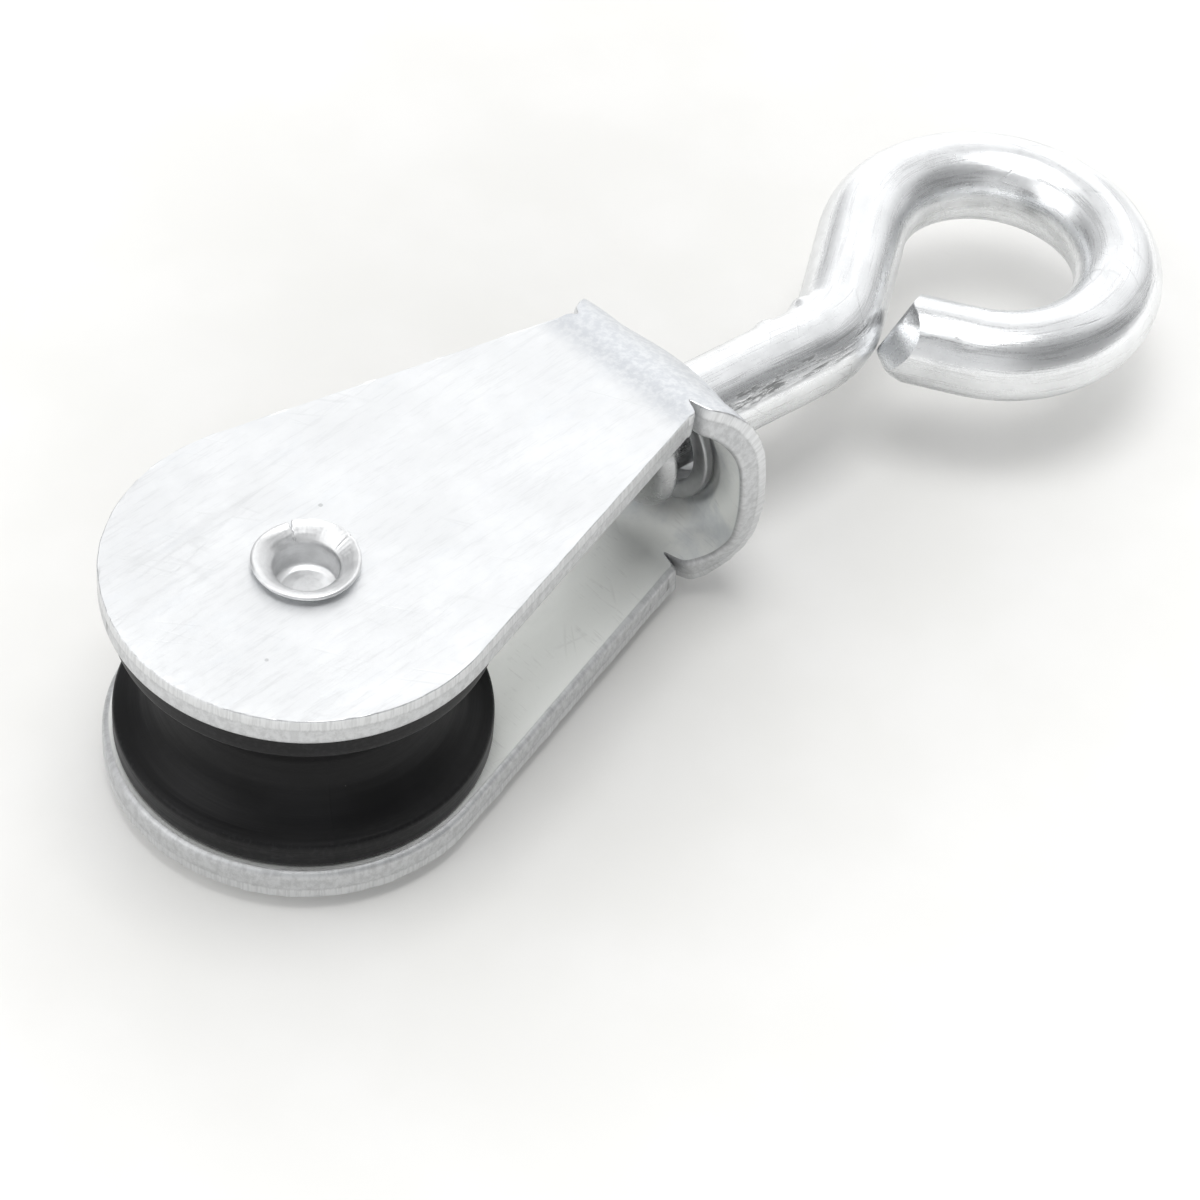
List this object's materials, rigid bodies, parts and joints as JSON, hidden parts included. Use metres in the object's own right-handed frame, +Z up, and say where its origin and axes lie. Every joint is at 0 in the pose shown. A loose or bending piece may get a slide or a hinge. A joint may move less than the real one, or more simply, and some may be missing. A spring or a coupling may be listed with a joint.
{
  "type": "swivel eye pulley block",
  "caption": "Small pulley block: a sheave on a riveted axle between the cheeks of a folded metal strap, hung from a swivelling rod eye.",
  "frame": {"origin": "middle of the flat head of the axle rivet, on the axle's axis: the lowest point of the block as it lies", "axes": "+X from the axle towards the eye, +Z up along the axle from the rivet's flat head to its rolled rim, +Y the side the eye's neck bends to at rest"},
  "size_m": [0.1121, 0.0364, 0.0242],
  "materials": {
    "strap": "bright zinc plate over rolled strap, sheared edges left as cut",
    "rivet": "plated, rolled rim rubbed bright",
    "sleeve": "plain drawn tube",
    "sheave": "black moulded nylon, semi-gloss",
    "washer": "plain, dulled",
    "rod": "bright drawn rod, satin, with draw lines along it"
  },
  "bodies": {
    "frame": {"strap_frame": "strap", "axle_rivet": "rivet", "axle_sleeve": "sleeve"},
    "sheave_body": {"sheave": "sheave"},
    "washer_body": {"swivel_washer": "washer"},
    "eye_body": {"swivel_eye": "rod"}
  },
  "joints": [
    {"name": "sheave_spin", "type": "hinge", "parent": "frame", "child": "sheave_body", "pos_m": [0, 0, 0.01227], "axis": [0, 0, 1], "continuous": true},
    {"name": "eye_swivel", "type": "hinge", "parent": "frame", "child": "washer_body", "pos_m": [0.0429, 0, 0.01227], "axis": [1, 0, 0], "continuous": true},
    {"name": "eye_rock", "type": "hinge", "parent": "washer_body", "child": "eye_body", "pos_m": [0.0429, 0, 0.01227], "axis": [0, 0, 1], "range_deg": [-4, 15.4]}
  ]
}
